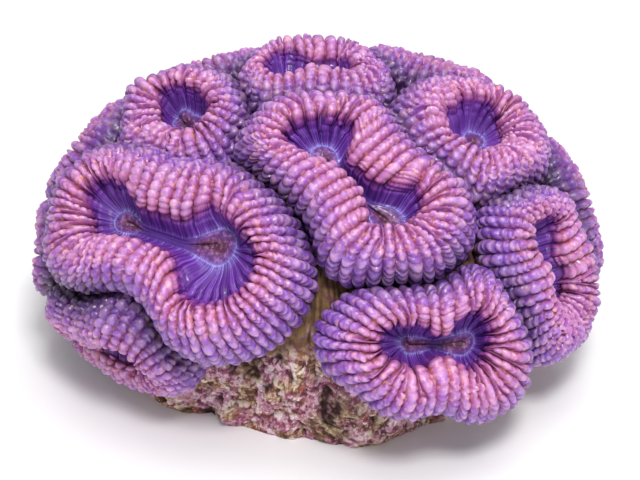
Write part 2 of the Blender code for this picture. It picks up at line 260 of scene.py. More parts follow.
def onto_core(points, grow):
    """Points moved towards or from the core's centre until they lie on the core, grown a little."""
    d = points - CORE_CENTRE
    up = np.where(d[..., 2:] >= 0, CORE_UP, CORE_DOWN) + grow
    span = (d[..., :1] / (CORE_ACROSS + grow)) ** 2 + (d[..., 1:2] / (CORE_DEEP + grow)) ** 2
    span = span + (d[..., 2:] / up) ** 2
    return CORE_CENTRE + d / np.sqrt(span)


def rough(points, size, seed):
    """Smooth lumps between -1 and 1, about the given size in millimetres."""
    p = points / size + seed * 7.31
    cell = np.floor(p)
    f = p - cell
    f = f * f * (3 - 2 * f)
    total = 0.0
    for dx in (0, 1):
        for dy in (0, 1):
            for dz in (0, 1):
                corner = cell + (dx, dy, dz)
                value = np.sin(corner @ np.array([127.1, 311.7, 74.7])) * 43758.5453
                weight = abs(1 - dx - f[..., 0]) * abs(1 - dy - f[..., 1]) * abs(1 - dz - f[..., 2])
                total = total + weight * (2 * (value - np.floor(value)) - 1)
    return total


# Spacing of the ribs along a lobe's outer wall, in millimetres, and the station of that wall.
RIB_PITCH = 4.4
WALL_STATION = 11.2

# Places around a lobe and rows to a station in its smooth form, and the last station, at its foot.
STEPS_AROUND = 720
ROWS_PER_STATION = 10
LAST_STATION = 15

# Where the ribs fan out from the funnel to the wall by more than this, half of them start only
# further out, and where they fan out still more, a quarter more of them do.
FAN_HALF = 1.5
FAN_QUARTER = 2.8

# Half the width of the valley's floor between mouths, and the usual radius of a mouth.
VALLEY_LIP = 1.4
MOUTH_RADIUS = 3.9

# Depth of the lobe's heart under its rim plane, and how far its sole is drawn in towards the heart.
HEART_DEPTH = 20.0
SOLE_SHARE = 0.55

# Radius of the mouth at the valley's right-hand end and at its left-hand end, and how far each end
# is moved along and across the valley.
MOUTHS = {"front_left": (6.0, 4.4), "centre": (5.0, 5.0), "front_right": (4.0, 2.9), "right": (4.2, 4.0)}
MOUTH_SHIFTS = {"front_left": ((3.0, 3.2), (1.0, 1.0)), "centre": ((0.0, 1.5), (0.0, 2.0)),
                "front_right": ((2.3, -1.0), (0.6, 0.8))}

# How blunt the inner tips of the ribs are at the valley's right-hand and left-hand ends.
BLUNT = {"front_right": (0.2, 1.0), "front_left": (0.9, 1.0)}

# Rows of mesh that the beads of a rib share, and how many of them one bead may take.
BEAD_ROWS = 60
BEAD_SIZES = (6, 5, 4, 3)
BEAD_ROWS_UNSEEN = 36
BEAD_SIZES_UNSEEN = (4, 3)
# Where those rows lie along one bead, from -1 at its inner end to 1 at its outer end.
BEAD_STEPS = {6: (-1.0, -0.85, -0.5, 0.0, 0.5, 0.85), 5: (-1.0, -0.8, -0.3, 0.3, 0.8),
              4: (-1.0, -0.66, 0.0, 0.66), 3: (-1.0, -0.45, 0.45)}

# Stations of the rows of mesh between the mouth and the ribs.
LOW_ROWS = (0, 1, 1.5, 2.2, 2.75, 2.9, 3, 3.12, 3.4, 4, 4.6, 5.1, 5.6)
LOW_ROWS_UNSEEN = (0, 1, 2, 2.8, 3, 3.2, 4, 5)

# Lobes that the photograph shows well get more columns to a rib and more rows to a bead.
SEEN = ("front_left", "centre", "front_right", "right", "upper_right", "upper_left", "top", "low_left")

# Height of the ribs at each station, in millimetres, from the mouth to the foot: where the rim sags
# over the funnel its ribs end in blunt tips, and opposite they run out slowly down the funnel.
RIB_HEIGHT = (0.0, 0.0, 0.0, 0.0, 0.1, 0.8, 2.7, 3.1, 3.0, 2.9, 2.8, 2.8, 2.7, 2.2, 1.4, 0.6)
RIB_HEIGHT_ABOVE = (0.0, 0.0, 0.0, 0.0, 0.3, 1.0, 1.8, 2.4, 2.8, 2.9, 2.8, 2.8, 2.7, 2.2, 1.4, 0.6)


def fine_profile(reach, inner, near, sag, lip):
    """The profile with its mouth: crater, ring, funnel, rim and wall down to the neck."""
    b = rim_half(reach)
    floor = MOUTH_DEPTH * np.minimum(1.0, reach / 22)
    slope = np.maximum(reach - b - inner - lip, 0.3)
    stations = (
        (0.14 * lip, -floor + 0.3 - 0.8 * near),
        (0.34 * lip, -floor + 0.1),
        (0.6 * lip, -floor + 0.2 + 0.5 * near),
        (lip, -floor + 0.7),
        (lip + 0.3 * slope, -floor + 1.7),
        (lip + 0.72 * slope, -floor + 5.6 - sag),
        (reach - b - (0.97 + 0.05 * sag) * inner, -(0.9 + 0.3 * sag) * b),
        (reach - b - (0.82 + 0.14 * sag) * inner, -(0.52 + 0.2 * sag) * b),
        (reach - b - (0.55 + 0.1 * sag) * inner, -(0.2 + 0.05 * sag) * b),
        (reach - b - 0.23 * inner, -0.03 * b),
        (reach - 0.75 * b, -0.03 * b),
        (reach - 0.22 * b, -0.45 * b),
        (reach, -1.15 * b),
        (reach - 0.12 * b, -1.9 * b),
        (reach - 0.6 * b, -2.5 * b),
    )
    return np.stack([s for s, h in stations], -1), np.stack([h for s, h in stations], -1)


def along_rows(stations, t):
    """Smooth curve through the stations (columns, stations, 3) at the rows t."""
    last = stations.shape[1] - 1
    i = np.clip(np.floor(t).astype(int), 0, last - 1)
    f = (t - i)[None, :, None]
    a, b = stations[:, np.maximum(i - 1, 0)], stations[:, i]
    c, d = stations[:, i + 1], stations[:, np.minimum(i + 2, last)]
    return smooth_between(a, b, c, d, f)


def normals_of(grid):
    """Outward normals and sideways directions of a grid that closes around its first axis."""
    du = np.roll(grid, -1, 0) - np.roll(grid, 1, 0)
    n = np.cross(np.gradient(grid, axis=1), du)
    lengths = [np.maximum(np.linalg.norm(v, axis=-1, keepdims=True), 1e-9) for v in (n, du)]
    return n / lengths[0], du / lengths[1]


def make_mesh(name, points, faces, facts, material):
    """A piece in the scene from points in millimetres, with its painted facts as attributes."""
    mesh = bpy.data.meshes.new(name)
    mesh.from_pydata((points * MM).tolist(), [], faces)
    for key, values in facts.items():
        kind, slot = ("FLOAT_VECTOR", "vector") if values.ndim == 2 else ("FLOAT", "value")
        layer = mesh.attributes.new(key, kind, "POINT")
        layer.data.foreach_set(slot, values.astype(np.float32).ravel())
    mesh.shade_smooth()
    mesh.materials.append(material)
    piece = bpy.data.objects.new(name, mesh)
    bpy.context.scene.collection.objects.link(piece)
    return piece


def sampled(grid, u, v):
    """Values of a grid that closes around its first axis, at fractional places in it."""
    n, m = grid.shape[:2]
    x = (u % 1.0) * n
    i = np.floor(x).astype(int)
    j = np.clip(np.floor(v).astype(int), 0, m - 2)
    fx, fy = (x - i)[..., None], (v - j)[..., None]
    i, k = i % n, (i + 1) % n
    this_row = grid[i, j] * (1 - fx) + grid[k, j] * fx
    next_row = grid[i, j + 1] * (1 - fx) + grid[k, j + 1] * fx
    return this_row * (1 - fy) + next_row * fy


def smooth_lobe(name, seed):
    """The lobe before its ribs, its rows' stations, and how near a mouth, blunt and pressed it is."""
    lobe = LOBES[name]
    u = np.arange(STEPS_AROUND) / STEPS_AROUND
    foot, way = around(lobe["valley"], u)
    reach = ring_curve(pressed_reach(name), u)
    near_mouth = mouth_nearness(lobe, foot)
    sag = sagging(lobe, foot, way)
    inner = rim_inner(lobe, reach, near_mouth, sag)
    right, left = MOUTHS.get(name, (MOUTH_RADIUS, MOUTH_RADIUS))
    mouth = np.interp(foot[:, 0], (-2.0, 2.0), (left, right)) * (1 + 0.12 * np.sin(6 * math.pi * u + seed))
    lip = VALLEY_LIP + (np.minimum(mouth, 0.24 * reach) - VALLEY_LIP) * near_mouth
    lip = np.minimum(lip, 0.8 * (reach - rim_half(reach) - inner))
    s, h = fine_profile(reach, inner, near_mouth, sag, lip)
    stations = in_space(lobe, foot, way, s, h)
    shifts = MOUTH_SHIFTS.get(name, ((0.0, 0.0), (0.0, 0.0)))
    shift = np.where(foot[:, :1] > 0, shifts[0], shifts[1]) * near_mouth[:, None]
    shift = shift[:, :1] * lobe_axes(lobe)[1] + shift[:, 1:] * lobe_axes(lobe)[2]
    hold = np.array([1.0, 1.0, 1.0, 0.95, 0.7, 0.35, 0.1] + [0.0] * (stations.shape[1] - 7))
    stations = stations + shift[:, None, :] * hold[:, None]
    heart = in_space(lobe, foot, way, np.zeros((len(u), 1)), np.full((len(u), 1), -HEART_DEPTH))[:, 0]
    sole = onto_core(heart + SOLE_SHARE * (stations[:, -1] - heart), -1.0)
    stations = np.concatenate([stations, sole[:, None]], 1)
    t = np.linspace(0, LAST_STATION, LAST_STATION * ROWS_PER_STATION + 1)
    grid = along_rows(stations, t)
    normal, side = normals_of(grid)
    on_rim = np.interp(t, [4, 7, 14, 15], [0, 1, 1, 0])[None, :, None]
    lumps = 0.9 * rough(grid, 14.0, seed) + 0.35 * rough(grid, 6.0, seed + 5)
    grid = grid + normal * on_rim * lumps[..., None]
    grid = grid + side * on_rim * (0.9 * rough(grid, 8.0, seed + 3))[..., None]
    pressed = np.clip((ring_curve(lobe["reach"], u) - reach) / 2.5, 0, 1)
    right, left = BLUNT.get(name, (1.0, 1.0))
    blunt = sag * (left + (right - left) * (0.5 + foot[:, 0] / lobe["valley"]))
    blunt = 1 - (1 - blunt) * near_mouth
    return grid, t, near_mouth, blunt, pressed


def lay_ribs(rng, grid, t_even):
    """Edges of the ribs as shares of the way around a lobe, and the station where each may start."""
    gaps = np.linalg.norm(np.roll(grid, -1, 0) - grid, axis=2)
    gaps = sum(np.roll(gaps, k, 0) for k in range(-8, 9)) / 17
    wall = gaps[:, round(WALL_STATION * ROWS_PER_STATION)]
    walked = np.concatenate([[0.0], np.cumsum(wall)])
    count = 4 * round(walked[-1] / RIB_PITCH / 4)
    widths = rng.uniform(0.82, 1.18, count)
    edges = np.concatenate([[0.0], np.cumsum(widths)]) * walked[-1] / widths.sum()
    edges = np.interp(edges, walked, np.arange(len(walked)) / len(wall))
    starts = np.zeros(count)
    for k in range(count):
        if k % 4:
            middle = int((edges[k] + edges[k + 1]) / 2 * len(wall)) % len(wall)
            fan = wall[middle] / gaps[middle]
            crowded = (fan > (FAN_HALF if k % 2 else FAN_QUARTER)) & (t_even < 11.0)
            starts[k] = t_even[np.flatnonzero(crowded)[-1]] if crowded.any() else 0.0
    return edges, starts


def grow_lobe(name, seed):
    """Points, faces and painted facts of one dressed lobe."""
    seen = name in SEEN
    rng = np.random.default_rng(seed)
    grid, t_even, near_even, sag_even, pressed_even = smooth_lobe(name, seed)
    normal_even, side_even = normals_of(grid)
    steps = np.linalg.norm(np.diff(grid, axis=1), axis=2)

    # Some ribs carry on from the funnel to the foot; others start between them further out.
    rib_edges, starts = lay_ribs(rng, grid, t_even)
    wide = np.diff(rib_edges)
    ribs = len(wide)
    tall = rng.uniform(0.86, 1.12, ribs)
    middle = (STEPS_AROUND * (rib_edges[:-1] + wide / 2)).astype(int) % STEPS_AROUND
    paths = np.stack([steps[(middle + k) % STEPS_AROUND] for k in range(-6, 7, 3)]).mean(0)
    paths = np.concatenate([np.zeros((ribs, 1)), np.cumsum(paths, 1)], 1)
    edge_t = 5.3 + 0.9 * sag_even[middle]
    start = np.array([np.interp(place, t_even, path) for place, path in zip(edge_t, paths)])
    start = start + rng.uniform(-1.2, 1.2, ribs)
    low_rows = LOW_ROWS if seen else LOW_ROWS_UNSEEN
    bead_sizes = BEAD_SIZES if seen else BEAD_SIZES_UNSEEN
    lows = len(low_rows)
    bead_rows = BEAD_ROWS if seen else BEAD_ROWS_UNSEEN
    rows = lows + bead_rows + 1
    walked, z, tint = np.zeros((ribs, rows)), np.zeros((ribs, rows)), np.zeros((ribs, rows))
    swell, lean, first = np.ones((ribs, rows)), np.zeros((ribs, rows)), np.zeros((ribs, rows))
    row_t, beaded = np.zeros((ribs, rows)), np.zeros((ribs, rows))
    late = np.zeros(ribs, int)
    for k, path in enumerate(paths):
        end_path = path[-1]
        even = np.linspace(start[k], end_path, bead_rows + 1)
        skip = np.searchsorted(np.interp(even, path, t_even), starts[k] + rng.uniform(-0.5, 0.5))
        skip = max(0, int(skip) - 1)
        late[k] = skip if skip > 4 else 0
        wish = rng.uniform(2.4, 3.9)
        length = end_path - even[late[k]]
        choices = [(size, (bead_rows - late[k]) // size) for size in bead_sizes]
        per_bead, beads = min(choices, key=lambda kind: abs(math.log(length / kind[1] / wish)))
        begin = rows - 1 - beads * per_bead
        late[k] = begin if late[k] else 0
        from_path = even[begin - lows]
        bead_steps = np.array(BEAD_STEPS[per_bead])
        lengths = rng.uniform(0.6, 1.5, beads) * np.linspace(0.8, 1.3, beads)
        ends = from_path + np.concatenate([[0], np.cumsum(lengths)]) / lengths.sum() * (end_path - from_path)
        low = np.interp(low_rows, t_even, path)
        low = low * np.minimum(1.0, (start[k] - 0.6) / low[-1])
        in_beads = ends[:-1, None] + (bead_steps + 1) / 2 * np.diff(ends)[:, None]
        walked[k] = np.concatenate([low, even[:begin - lows], in_beads.ravel(), [end_path]])
        z[k, begin:] = np.concatenate([np.tile(bead_steps, beads), [-1.0]])
        tint[k, begin:-1] = np.repeat(rng.random(beads), per_bead)
        swell[k, begin:-1] = np.repeat(rng.uniform(0.84, 1.16, beads), per_bead)
        twist = rng.uniform(0.0, 0.5) * (-1.0) ** np.arange(beads)
        lean[k, begin:-1] = np.repeat(twist + rng.uniform(-0.2, 0.2, beads), per_bead)
        first[k, begin] = 1.0
        beaded[k, begin:] = 1.0
        start[k] = from_path
        row_t[k] = np.interp(walked[k], path, t_even)

    # Columns: each rib has its own, closer together towards its edges.
    per_rib = np.where(late > 0, 9, 11) if seen else np.where(late > 0, 6, 8)
    rib_of = np.repeat(np.arange(ribs), per_rib)
    w = np.concatenate([-np.cos(math.pi * np.arange(c) / c) for c in per_rib])
    grown = np.clip((np.arange(rows)[None, :] - late[:, None] + 5) / 8, 0.08, 1)
    widths = wide[:, None] * np.where(late[:, None] > 0, grown, 1.0)
    crowd = np.concatenate([np.zeros((1, rows)), np.cumsum(widths, 0)])
    # Every fourth rib keeps its place all the way, and the ribs between make room for each other.
    kept = (rib_edges[0:-1:4] + rib_edges[1::4]) / 2
    kept = np.concatenate([kept[-1:] - 1, kept, kept[:1] + 1])
    edges = np.zeros_like(crowd)
    for row in range(rows):
        found = (crowd[0:-1:4, row] + crowd[1::4, row]) / 2
        found = np.concatenate([found[-1:] - crowd[-1, row], found, found[:1] + crowd[-1, row]])
        edges[:, row] = np.interp(crowd[:, row], found, kept)
    u = edges[rib_of] + ((w + 1) / 2)[:, None] * (edges[1:] - edges[:-1])[rib_of]
    t = row_t[rib_of]
    t[w == -1.0] = 0.5 * (row_t + np.roll(row_t, 1, 0))
    # The creases between beads are curved, so that each bead is rounded towards the foot.
    curved = np.clip((np.arange(rows) - late[rib_of, None] - lows * (late[rib_of, None] == 0) + 3) / 8, 0, 1)
    curved = curved * np.clip((LAST_STATION - t) / 1.5, 0, 1)
    t = t - 0.2 * (w**2)[:, None] * curved
    place = t / LAST_STATION * (len(t_even) - 1)
    points = sampled(grid, u, place)
    normal = sampled(normal_even, u, place)
    side = sampled(side_even, u, place)
    marks = np.stack([near_even, sag_even, pressed_even], -1)[:, None, :]
    marks = sampled(np.repeat(marks, 2, 1), u, 0 * place)
    near, sag, pressed = marks[..., 0], marks[..., 1], marks[..., 2]

    stations = np.arange(LAST_STATION + 1)
    height = np.interp(t, stations, RIB_HEIGHT) * sag
    height = height + np.interp(t, stations, RIB_HEIGHT_ABOVE) * (1 - sag)
    height = height * tall[rib_of, None]
    beaded = beaded[rib_of]
    bulge = np.sqrt(1 - z**2)[rib_of]
    outer = np.clip((t - 7.5) / 3.5, 0, 1)
    narrow = w[:, None] / (1 - (0.14 + 0.2 * outer) * (1 - bulge) * beaded)
    across = np.sqrt(np.maximum(0, 1 - narrow**2))
    neck = (0.76 - 0.16 * outer) * rng.uniform(0.85, 1.1, ribs)[rib_of, None]
    neck = neck * (1 - 0.75 * first[rib_of] * sag)
    lump = across * (1 - beaded + beaded * (neck + (1 - neck) * bulge) * swell[rib_of])
    septa = np.interp(t, [0.8, 2.0, 2.9, 3.2, 4.5, 6.0], [0.0, 0.05, 0.04, 0.16, 0.2, 0.1])
    line = np.cos(3 * math.pi * w)[:, None]
    fold = line * septa * (1 - beaded)
    ring = np.exp(-((t - 3.0) / 0.12) ** 2) * (0.5 + 0.35 * line)
    relief = height * (lump - 0.55) + fold + ring * (0.3 + 0.7 * near)
    points = points + normal * relief[..., None]
    points = points + side * (lean[rib_of] * bulge * beaded * across * (t < 14))[..., None]

    n, m = points.shape[:2]
    index = np.arange(n * m).reshape(n, m)
    nxt = np.roll(index, -1, 0)
    quads = np.stack([index[:, :-1], index[:, 1:], nxt[:, 1:], nxt[:, :-1]], -1).reshape(-1, 4)
    faces = quads.tolist()
    faces += [(n * m, index[i, 0], nxt[i, 0]) for i in range(n)]
    faces += [(n * m + 1, nxt[i, -1], index[i, -1]) for i in range(n)]
    ends = np.stack([points[:, 0].mean(0), points[:, -1].mean(0)])
    flat = np.concatenate([points.reshape(-1, 3), ends])

    def fact(values):
        return np.concatenate([np.broadcast_to(values, (n, m)).ravel(), [0.0, 0.0]])

    turn = 2 * math.pi * u
    outward = np.interp(t, t_even, paths.mean(0)) / 60.0
    flow = np.stack([fact(np.cos(turn)), fact(np.sin(turn)), fact(outward)], -1)
    unbeaded = 0.62 + line * np.interp(t, [2.9, 3.2, 5.0], [0.03, 0.16, 0.2])
    slack = (1 - sag) * np.interp(t, [3.3, 6.0, 8.0, 11.0], [0.0, 1.0, 1.0, 0.0])
    facts = {
        "zone": fact((t - slack) / LAST_STATION),
        "relief": fact(np.where(beaded > 0, np.clip(lump, 0, 1.2), unbeaded)),
        "tint": fact(tint[rib_of]),
        "tip": fact(np.clip(1 - (walked - start[:, None]) / 6.0, 0, 1)[rib_of] * beaded),
        "mouth": fact(near),
        # Painted shade between pressed lobes, towards their foot.
        "crevice_shade": fact(pressed * np.clip((t - 10.3) / 2.2, 0, 1)),
        "flow": flow,
    }
    return flat, faces, facts


def linear(colour):
    """Linear colour with full alpha from sRGB written as a hex string."""
    values = [int(colour[i:i + 2], 16) / 255 for i in (0, 2, 4)]
    return (*[v / 12.92 if v <= 0.04045 else ((v + 0.055) / 1.055) ** 2.4 for v in values], 1.0)


def add(tree, kind, links=None, **settings):
    """A shader node with its settings, input values and incoming links."""
    made = tree.nodes.new(kind)
    for key, value in settings.items():
        setattr(made, key, value)
    for key, value in (links or {}).items():
        if isinstance(value, bpy.types.NodeSocket):
            tree.links.new(value, made.inputs[key])
        else:
            made.inputs[key].default_value = value
    return made


def ramp(tree, value, stops):
    """A colour ramp through (place, colour) stops; a colour is a hex string or a grey number."""
    made = add(tree, "ShaderNodeValToRGB", {0: value})
    band = made.color_ramp
    for k, (place, colour) in enumerate(stops):
        stop = band.elements[k] if k < 2 else band.elements.new(place)
        stop.position = place
        stop.color = linear(colour) if isinstance(colour, str) else (colour, colour, colour, 1)
    return made.outputs[0]


def mix(tree, factor, a, b):
    """The colour a, turned into b by the factor."""
    return add(tree, "ShaderNodeMix", {0: factor, 6: a, 7: b}, data_type="RGBA").outputs[2]


def maths(tree, operation, a, b):
    return add(tree, "ShaderNodeMath", {0: a, 1: b}, operation=operation).outputs[0]


def attribute(tree, name):
    return add(tree, "ShaderNodeAttribute", attribute_name=name, attribute_type="GEOMETRY")


def noise(tree, vector, scale, detail=3.0, roughness=0.55):
    settings = {"Vector": vector, "Scale": scale, "Detail": detail, "Roughness": roughness}
    return add(tree, "ShaderNodeTexNoise", settings).outputs["Fac"]


def new_material(name):
    """A new material, its node tree and its shader."""
    material = bpy.data.materials.new(name)
    material.use_nodes = True
    tree = material.node_tree
    return material, tree, tree.nodes["Principled BSDF"]


def flesh_material():
    """Wet coral flesh: pink and peach on the rims, violet down the walls, deep violet in the funnels, with
    painted shade in the grooves, towards the foot and between pressed lobes, and a painted highlight on each
    bead's top.
    """
    material, tree, shader = new_material("wet violet coral flesh")
    place = add(tree, "ShaderNodeTexCoord").outputs["Object"]
    zone = attribute(tree, "zone").outputs["Fac"]
    relief = attribute(tree, "relief").outputs["Fac"]
    tint = attribute(tree, "tint").outputs["Fac"]
    tip = attribute(tree, "tip").outputs["Fac"]
    mouth = attribute(tree, "mouth").outputs["Fac"]
    crevice_shade = attribute(tree, "crevice_shade").outputs["Fac"]
    flow = attribute(tree, "flow").outputs["Vector"]
    # Colour by the way from the mouth to the foot: the walls are the coral's own violet, and the last stops
    # towards the foot are darkened further as painted shade under the rims.
    tops = ramp(tree, zone, (
        (0.0, "5e2c3c"), (0.062, "86486c"), (0.1, "7c3c80"), (0.16, "74389a"), (0.188, "7e5cb8"),
        (0.2, "b4acf0"), (0.212, "8e74d4"), (0.245, "7436a8"), (0.34, "6e2c9e"), (0.39, "84368e"),
        (0.44, "b0609a"), (0.5, "bc74ae"), (0.6, "b068ae"), (0.68, "8c4caa"), (0.77, "7040a2"),
        (0.87, "5e3494"), (0.95, "5c3c5c"), (1.0, "4a3430")))
    grooves = ramp(tree, zone, (
        (0.0, "522434"), (0.062, "4a1c40"), (0.1, "44205c"), (0.17, "4c2468"), (0.2, "6a60b8"),
        (0.215, "562c96"), (0.26, "4a1c82"), (0.38, "5c1e78"), (0.44, "903c58"), (0.52, "b4566c"),
        (0.62, "a24e76"), (0.72, "80408a"), (0.82, "5c2c7a"), (0.92, "38182e"), (1.0, "2c1812")))
    # Streaks that run from the mouth ring up the funnel to the ribs.
    fine_flow = add(tree, "ShaderNodeVectorMath", {0: flow, 1: (46.0, 46.0, 1.2)}, operation="MULTIPLY")
    streak = noise(tree, fine_flow.outputs[0], 1.0, 4.0, 0.65)
    in_funnel = ramp(tree, zone, ((0.19, 0.0), (0.205, 1.0), (0.4, 1.0), (0.49, 0.0)))
    # The grooves between the ribs take their own redder colour, darkened there as painted shade, and the
    # ribs' tops the lighter colour.
    colour = mix(tree, ramp(tree, relief, ((0.34, 0.0), (0.8, 1.0))), grooves, tops)
    light_streak = ramp(tree, zone, (
        (0.19, "d4ceff"), (0.235, "a898ea"), (0.29, "8e62cc"), (0.36, "984eb4"), (0.45, "b86494")))
    pale_line = maths(tree, "MULTIPLY", in_funnel, ramp(tree, streak, ((0.55, 0.0), (0.64, 0.8))))
    colour = mix(tree, pale_line, colour, light_streak)
    dark_line = maths(tree, "MULTIPLY", in_funnel, ramp(tree, streak, ((0.4, 0.85), (0.5, 0.0))))
    colour = mix(tree, dark_line, colour, linear("380e60"))
    # The mouth is a crinkled crater, dark in its folds and pale on them.
    in_mouth = ramp(tree, zone, ((0.17, 1.0), (0.195, 0.0)))
    crinkle = noise(tree, place, 700.0, 3.0, 0.6)
    low_fold = maths(tree, "MULTIPLY", in_mouth, ramp(tree, crinkle, ((0.4, 0.65), (0.5, 0.0))))
    colour = mix(tree, low_fold, colour, linear("4c2054"))
    high_fold = maths(tree, "MULTIPLY", in_mouth, ramp(tree, crinkle, ((0.52, 0.0), (0.64, 0.6))))
    colour = mix(tree, high_fold, colour, linear("a87ab0"))
    # In the valley between two mouths the crater and the ring fade to violet.
    floor_zone = ramp(tree, zone, ((0.05, 1.0), (0.21, 1.0), (0.26, 0.0)))
    between = maths(tree, "MULTIPLY", floor_zone, ramp(tree, mouth, ((0.0, 1.0), (0.6, 0.0))))
    colour = mix(tree, between, colour, linear("502484"))
    # Beads differ: some are paler, some more violet or bluer, all carry a painted highlight on top, with
    # peach specks, and the inner tips of the ribs are the warmest.
    on_rim = ramp(tree, zone, ((0.42, 0.0), (0.5, 1.0), (0.9, 1.0), (1.0, 0.3)))
    pale = maths(tree, "MULTIPLY", on_rim, ramp(tree, tint, ((0.5, 0.0), (1.0, 0.32))))
    colour = mix(tree, pale, colour, linear("dcb4ec"))
    violet = maths(tree, "MULTIPLY", on_rim, ramp(tree, tint, ((0.0, 0.22), (0.35, 0.0))))
    colour = mix(tree, violet, colour, linear("8a54c4"))
    # Painted highlight: the highest part of each bead on the rim is mixed towards pale pink.
    bead_top_highlight = maths(tree, "MULTIPLY", on_rim, ramp(tree, relief, ((0.82, 0.0), (1.0, 0.28))))
    colour = mix(tree, bead_top_highlight, colour, linear("e6b4d2"))
    drift = noise(tree, place, 42.0, 2.0)
    cool = maths(tree, "MULTIPLY", on_rim, ramp(tree, drift, ((0.48, 0.0), (0.72, 0.22))))
    colour = mix(tree, cool, colour, linear("7a4cc0"))
    blotch = noise(tree, place, 420.0, 3.0)
    blue = maths(tree, "MULTIPLY", on_rim, ramp(tree, blotch, ((0.52, 0.0), (0.68, 0.26))))
    colour = mix(tree, blue, colour, linear("8c74dc"))
    warm = ramp(tree, blotch, ((0.32, 0.75), (0.46, 0.0)))
    warm = maths(tree, "MULTIPLY", warm, ramp(tree, tip, ((0.0, 0.35), (1.0, 1.0))))
    colour = mix(tree, maths(tree, "MULTIPLY", on_rim, warm), colour, linear("e69a94"))
    speck = noise(tree, place, 620.0, 1.0)
    on_crest = ramp(tree, zone, ((0.42, 0.0), (0.5, 1.0), (0.64, 1.0), (0.78, 0.4)))
    peach = maths(tree, "MULTIPLY", on_crest, ramp(tree, speck, ((0.5, 0.0), (0.78, 0.6))))
    colour = mix(tree, peach, colour, linear("f2bcb4"))
    # Painted shade: where lobes press against each other, the walls between them are darkened towards near
    # black.
    colour = mix(tree, maths(tree, "MULTIPLY", crevice_shade, 0.88), colour, linear("240c2c"))
    tree.links.new(colour, shader.inputs["Base Color"])
    # The rims are wet and glossy in patches, and the funnels are duller.
    shine = noise(tree, place, 380.0, 2.0)
    dull = ramp(tree, zone, ((0.36, 0.3), (0.5, 0.0)))
    gloss = maths(tree, "ADD", ramp(tree, shine, ((0.3, 0.26), (0.75, 0.46))), dull)
    tree.links.new(gloss, shader.inputs["Roughness"])
    shader.inputs["Specular IOR Level"].default_value = 0.4
    shader.inputs["Coat Weight"].default_value = 0.35
    shader.inputs["Coat Roughness"].default_value = 0.14
    shader.inputs["Subsurface Weight"].default_value = 0.15
    shader.inputs["Subsurface Radius"].default_value = (1.0, 0.35, 0.7)
    shader.inputs["Subsurface Scale"].default_value = 0.002
    grain = maths(tree, "MULTIPLY", noise(tree, place, 800.0, 3.0), 0.6)
    funnel_grain = maths(tree, "MULTIPLY", maths(tree, "MULTIPLY", streak, in_funnel), 3.5)
    mouth_grain = maths(tree, "MULTIPLY", maths(tree, "MULTIPLY", crinkle, in_mouth), 2.5)
    grain = maths(tree, "ADD", maths(tree, "ADD", grain, funnel_grain), mouth_grain)
    bump = add(tree, "ShaderNodeBump", {"Height": grain, "Strength": 0.3, "Distance": 0.0005})
    tree.links.new(bump.outputs[0], shader.inputs["Normal"])
    return material


def rock_material():
    """Old reef rock: crumbly and brown, with pink crusts, pale lime, rust and olive film, and painted shade
    in its pits and hollows.
    """
    material, tree, shader = new_material("encrusted reef rock")
    place = add(tree, "ShaderNodeTexCoord").outputs["Object"]
    shade_relief = attribute(tree, "shade_relief").outputs["Fac"]
    crumb = attribute(tree, "crumb").outputs["Fac"]
    neck = attribute(tree, "neck").outputs["Fac"]
    patch = noise(tree, place, 55.0, 5.0, 0.6)
    crust = noise(tree, place, 120.0, 5.0, 0.7)
    spots = noise(tree, place, 1000.0, 3.0, 0.65)
    brown = ramp(tree, crumb, (
        (0.2, "643e2c"), (0.38, "987050"), (0.52, "b69476"), (0.66, "d2b89e"), (0.8, "eadccc")))
    pink = ramp(tree, crumb, (
        (0.2, "74304a"), (0.36, "a45878"), (0.5, "c2829e"), (0.64, "daaac0"), (0.8, "f2dae4")))
    olive = ramp(tree, crumb, ((0.2, "43301a"), (0.5, "7c6434"), (0.8, "b49c62")))
    colour = mix(tree, ramp(tree, crust, ((0.44, 0.0), (0.52, 1.0))), brown, pink)
    colour = mix(tree, ramp(tree, patch, ((0.56, 0.0), (0.64, 0.75))), colour, olive)
    rust = ramp(tree, noise(tree, place, 230.0, 3.0, 0.6), ((0.58, 0.0), (0.66, 0.7)))
    colour = mix(tree, rust, colour, linear("9a4a24"))
    colour = mix(tree, ramp(tree, spots, ((0.58, 0.0), (0.66, 0.7))), colour, linear("f2e4da"))
    colour = mix(tree, ramp(tree, spots, ((0.34, 0.75), (0.43, 0.0))), colour, linear("4a2420"))
    # Painted shade: the pits and the hollows between crumbs are darkened towards near black.
    colour = mix(tree, ramp(tree, shade_relief, ((0.05, 0.95), (0.5, 0.0))), colour, linear("34120e"))
    # The necks that carry the lobes are fibrous, with brown, olive and mauve strands.
    strand = noise(tree, place, 160.0, 4.0, 0.6)
    fibre = ramp(tree, strand, (
        (0.3, "4c2834"), (0.42, "84525a"), (0.5, "8e6a4c"), (0.57, "a0863e"), (0.63, "a87c86"),
        (0.72, "c4aa8e")))
    fibre = mix(tree, ramp(tree, crumb, ((0.3, 0.5), (0.6, 0.0))), fibre, linear("5c3236"))
    # Painted shade in the hollows between the strands.
    fibre = mix(tree, ramp(tree, shade_relief, ((0.1, 0.9), (0.7, 0.0))), fibre, linear("3a1c1e"))
    colour = mix(tree, neck, colour, fibre)
    tree.links.new(colour, shader.inputs["Base Color"])
    tree.links.new(ramp(tree, crust, ((0.3, 0.9), (0.7, 0.65))), shader.inputs["Roughness"])
    grain = noise(tree, place, 900.0, 4.0, 0.7)
    bump = add(tree, "ShaderNodeBump", {"Height": grain, "Strength": 0.9, "Distance": 0.001})
    tree.links.new(bump.outputs[0], shader.inputs["Normal"])
    return material


